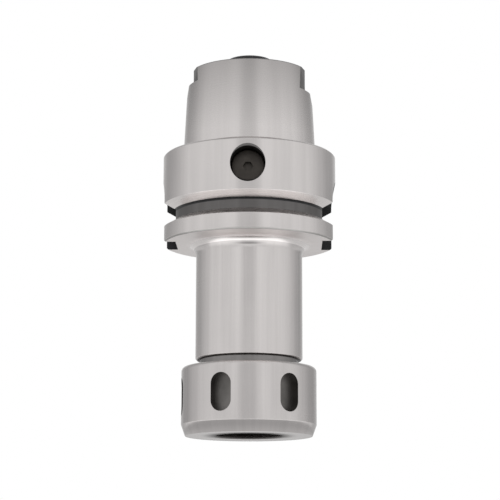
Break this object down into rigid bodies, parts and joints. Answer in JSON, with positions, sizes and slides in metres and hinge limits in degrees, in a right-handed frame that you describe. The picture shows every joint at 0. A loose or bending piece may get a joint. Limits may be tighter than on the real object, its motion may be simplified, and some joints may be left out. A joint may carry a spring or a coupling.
{
  "type": "collet chuck",
  "caption": "Collet chuck with a hollow taper shank, a gripper flange with a round chip hole, a slim nose and a round clamping nut with spanner pockets.",
  "frame": {"origin": "on the turning axis, in the flange face that seats on the spindle", "axes": "+Z along the shank into the spindle, -Y towards the chip hole, +X towards the wide flange slot"},
  "size_m": [0.05, 0.05, 0.1104],
  "materials": {
    "ground_steel": "fine ground, satin",
    "nut_steel": "turned, satin",
    "ring_steel": "ground",
    "collet_steel": "ground",
    "dark_plug": "black oxide",
    "dark_steel": "black oxide",
    "ball_steel": "polished",
    "seal_rubber": "matt"
  },
  "bodies": {
    "chuck": {"chuck_body": "ground_steel", "chip_plug": "dark_plug", "coolant_union": "dark_steel", "coolant_seal_lower": "seal_rubber", "coolant_seal_upper": "seal_rubber"},
    "collet_set": {"pressure_ring": "ring_steel", "collet": "collet_steel", "bearing_ball_01": "ball_steel", "bearing_ball_02": "ball_steel", "bearing_ball_03": "ball_steel", "bearing_ball_04": "ball_steel", "bearing_ball_05": "ball_steel", "bearing_ball_06": "ball_steel", "bearing_ball_07": "ball_steel", "bearing_ball_08": "ball_steel", "bearing_ball_09": "ball_steel", "bearing_ball_10": "ball_steel", "bearing_ball_11": "ball_steel", "bearing_ball_12": "ball_steel", "bearing_ball_13": "ball_steel", "bearing_ball_14": "ball_steel", "bearing_ball_15": "ball_steel", "bearing_ball_16": "ball_steel", "bearing_ball_17": "ball_steel", "bearing_ball_18": "ball_steel", "bearing_ball_19": "ball_steel", "bearing_ball_20": "ball_steel", "bearing_ball_21": "ball_steel", "bearing_ball_22": "ball_steel", "bearing_ball_23": "ball_steel", "bearing_ball_24": "ball_steel"},
    "nut": {"clamping_nut": "nut_steel", "ball_filler_plug": "nut_steel"},
    "stop_screw": {"stop_screw": "dark_steel"},
    "coolant_tube": {"coolant_tube": "dark_steel"}
  },
  "joints": [
    {"name": "collet_set_slide", "type": "slide", "parent": "chuck", "child": "collet_set", "axis": [0, 0, -1], "range_m": [0, 0.0079]},
    {"name": "nut_turn", "type": "hinge", "parent": "collet_set", "child": "nut", "pos_m": [0, 0, -0.07], "axis": [0, 0, -1], "range_deg": [0, 1900]},
    {"name": "stop_screw_slide", "type": "slide", "parent": "chuck", "child": "stop_screw", "axis": [0, 0, 1], "range_m": [0, 0.005]},
    {"name": "coolant_tube_tilt", "type": "hinge", "parent": "chuck", "child": "coolant_tube", "pos_m": [0, 0, -0.00635], "axis": [1, 0, 0], "range_deg": [-1, 1]}
  ],
  "couplings": [
    {"joint": "nut_turn", "follows": "collet_set_slide", "rad_per_m": 4188.8}
  ]
}
